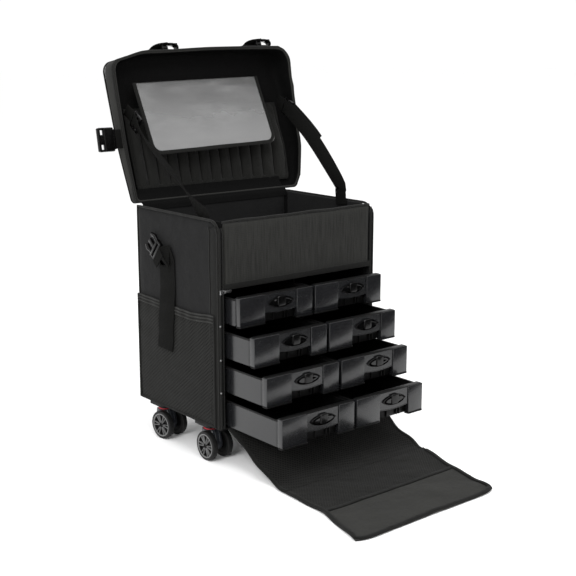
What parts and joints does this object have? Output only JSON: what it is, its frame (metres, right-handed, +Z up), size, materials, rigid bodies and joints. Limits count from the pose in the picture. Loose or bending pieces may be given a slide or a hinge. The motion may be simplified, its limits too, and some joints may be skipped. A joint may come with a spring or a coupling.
{
  "type": "makeup train case",
  "caption": "Soft-sided rolling makeup train case with a hinged lid, pull-out drawers, a fold-down front flap and swivel casters.",
  "frame": {"origin": "on the floor, under the middle of the whole outline with the lid up, the drawers out and the flap down", "axes": "+Z up, +Y to the back of the case where the lid is hinged, -Y to the front where the drawers open, +X to the right seen from the front"},
  "size_m": [0.4873, 0.7795, 0.7976],
  "materials": {
    "nylon": "woven nylon over foam and board",
    "lining": "thin woven lining",
    "mesh": "knitted mesh",
    "webbing": "ribbed webbing",
    "board": "fabric-faced fibreboard",
    "drawer": "glossy moulded plastic",
    "buckle": "semi-gloss moulded plastic",
    "fork": "satin moulded plastic",
    "wheel": "matte tread over a moulded hub",
    "window": "clear vinyl",
    "tube": "brushed"
  },
  "bodies": {
    "case": {"side_panel_left": "nylon", "side_panel_right": "nylon", "back_panel": "nylon", "base_board": "board", "front_panel": "nylon", "compartment_floor": "board", "cabinet_wall_left": "drawer", "cabinet_wall_right": "drawer", "cabinet_divider": "drawer", "mesh_pocket_left": "mesh", "mesh_pocket_right": "mesh", "side_strap_left": "webbing", "side_strap_right": "webbing", "side_buckle_left": "buckle", "side_buckle_right": "buckle", "caster_mount_front_left": "fork", "caster_mount_front_right": "fork", "caster_mount_rear_left": "fork", "caster_mount_rear_right": "fork", "handle_housing": "fork"},
    "drawer_1_left": {"tray_1_left": "drawer", "drawer_front_1_left": "drawer"},
    "drawer_1_right": {"tray_1_right": "drawer", "drawer_front_1_right": "drawer"},
    "drawer_2_left": {"tray_2_left": "drawer", "drawer_front_2_left": "drawer"},
    "drawer_2_right": {"tray_2_right": "drawer", "drawer_front_2_right": "drawer"},
    "drawer_3_left": {"tray_3_left": "drawer", "drawer_front_3_left": "drawer"},
    "drawer_3_right": {"tray_3_right": "drawer", "drawer_front_3_right": "drawer"},
    "drawer_4_left": {"tray_4_left": "drawer", "drawer_front_4_left": "drawer"},
    "drawer_4_right": {"tray_4_right": "drawer", "drawer_front_4_right": "drawer"},
    "caster_front_left": {"caster_fork_front_left": "fork"},
    "wheels_front_left": {"caster_wheels_front_left": "wheel"},
    "caster_front_right": {"caster_fork_front_right": "fork"},
    "wheels_front_right": {"caster_wheels_front_right": "wheel"},
    "caster_rear_left": {"caster_fork_rear_left": "fork"},
    "wheels_rear_left": {"caster_wheels_rear_left": "wheel"},
    "caster_rear_right": {"caster_fork_rear_right": "fork"},
    "wheels_rear_right": {"caster_wheels_rear_right": "wheel"},
    "lid": {"lid_shell": "nylon", "brush_slot_panel": "lining", "lid_front_buckle_left": "buckle", "lid_front_buckle_right": "buckle", "lid_side_buckle_left": "buckle", "lid_side_buckle_right": "buckle", "stay_strap_left": "webbing", "stay_strap_right": "webbing"},
    "window": {"window_binding": "webbing", "window_pane": "window"},
    "flap_ramp": {"flap_ramp": "lining"},
    "flap_apron": {"flap_apron": "lining"},
    "handle": {"handle_tube_left": "tube", "handle_tube_right": "tube", "handle_grip": "buckle"},
    "button": {"handle_button": "tube"}
  },
  "joints": [
    {"name": "lid_hinge", "type": "hinge", "parent": "case", "child": "lid", "pos_m": [0.0215, 0.2925, 0.479], "axis": [-1, 0, 0], "range_deg": [-100, 0], "deforming": ["stay_strap_left", "stay_strap_right"]},
    {"name": "window_hinge", "type": "hinge", "parent": "lid", "child": "window", "pos_m": [0.0215, 0.35671, 0.71646], "axis": [-1, 0, 0], "range_deg": [-8, 90], "stiffness_Nm_per_rad": 0.6},
    {"name": "flap_hinge", "type": "hinge", "parent": "case", "child": "flap_ramp", "pos_m": [0.0115, 0.011, 0.073], "axis": [1, 0, 0], "range_deg": [-17, 0]},
    {"name": "flap_fold", "type": "hinge", "parent": "flap_ramp", "child": "flap_apron", "pos_m": [0.0115, -0.1625, 0.005], "axis": [1, 0, 0], "range_deg": [-65, 0]},
    {"name": "drawer_slide_1_left", "type": "slide", "parent": "case", "child": "drawer_1_left", "axis": [0, -1, 0], "range_m": [-0.042, 0.158]},
    {"name": "drawer_slide_1_right", "type": "slide", "parent": "case", "child": "drawer_1_right", "axis": [0, -1, 0], "range_m": [-0.042, 0.158]},
    {"name": "drawer_slide_2_left", "type": "slide", "parent": "case", "child": "drawer_2_left", "axis": [0, -1, 0], "range_m": [-0.0845, 0.1155]},
    {"name": "drawer_slide_2_right", "type": "slide", "parent": "case", "child": "drawer_2_right", "axis": [0, -1, 0], "range_m": [-0.0845, 0.1155]},
    {"name": "drawer_slide_3_left", "type": "slide", "parent": "case", "child": "drawer_3_left", "axis": [0, -1, 0], "range_m": [-0.12, 0.08]},
    {"name": "drawer_slide_3_right", "type": "slide", "parent": "case", "child": "drawer_3_right", "axis": [0, -1, 0], "range_m": [-0.12, 0.08]},
    {"name": "drawer_slide_4_left", "type": "slide", "parent": "case", "child": "drawer_4_left", "axis": [0, -1, 0], "range_m": [-0.164, 0.036]},
    {"name": "drawer_slide_4_right", "type": "slide", "parent": "case", "child": "drawer_4_right", "axis": [0, -1, 0], "range_m": [-0.164, 0.036]},
    {"name": "caster_swivel_front_left", "type": "hinge", "parent": "case", "child": "caster_front_left", "pos_m": [-0.1585, 0.0805, 0.074], "axis": [0, 0, 1], "continuous": true},
    {"name": "wheel_spin_front_left", "type": "hinge", "parent": "caster_front_left", "child": "wheels_front_left", "pos_m": [-0.1585, 0.0685, 0.029], "axis": [1, 0, 0], "continuous": true},
    {"name": "caster_swivel_front_right", "type": "hinge", "parent": "case", "child": "caster_front_right", "pos_m": [0.1815, 0.0805, 0.074], "axis": [0, 0, 1], "continuous": true},
    {"name": "wheel_spin_front_right", "type": "hinge", "parent": "caster_front_right", "child": "wheels_front_right", "pos_m": [0.1815, 0.0685, 0.029], "axis": [1, 0, 0], "continuous": true},
    {"name": "caster_swivel_rear_left", "type": "hinge", "parent": "case", "child": "caster_rear_left", "pos_m": [-0.1585, 0.2405, 0.074], "axis": [0, 0, 1], "continuous": true},
    {"name": "wheel_spin_rear_left", "type": "hinge", "parent": "caster_rear_left", "child": "wheels_rear_left", "pos_m": [-0.15704, 0.22859, 0.029], "axis": [0.9925, 0.1219, 0], "continuous": true},
    {"name": "caster_swivel_rear_right", "type": "hinge", "parent": "case", "child": "caster_rear_right", "pos_m": [0.1815, 0.2405, 0.074], "axis": [0, 0, 1], "continuous": true},
    {"name": "wheel_spin_rear_right", "type": "hinge", "parent": "caster_rear_right", "child": "wheels_rear_right", "pos_m": [0.18004, 0.22859, 0.029], "axis": [0.9925, -0.1219, 0], "continuous": true},
    {"name": "handle_slide", "type": "slide", "parent": "case", "child": "handle", "axis": [0, 0, 1], "range_m": [0, 0.045]},
    {"name": "handle_button", "type": "slide", "parent": "handle", "child": "button", "axis": [0, 0, -1], "range_m": [0, 0.003], "stiffness_N_per_m": 150, "springref_m": -0.002}
  ]
}
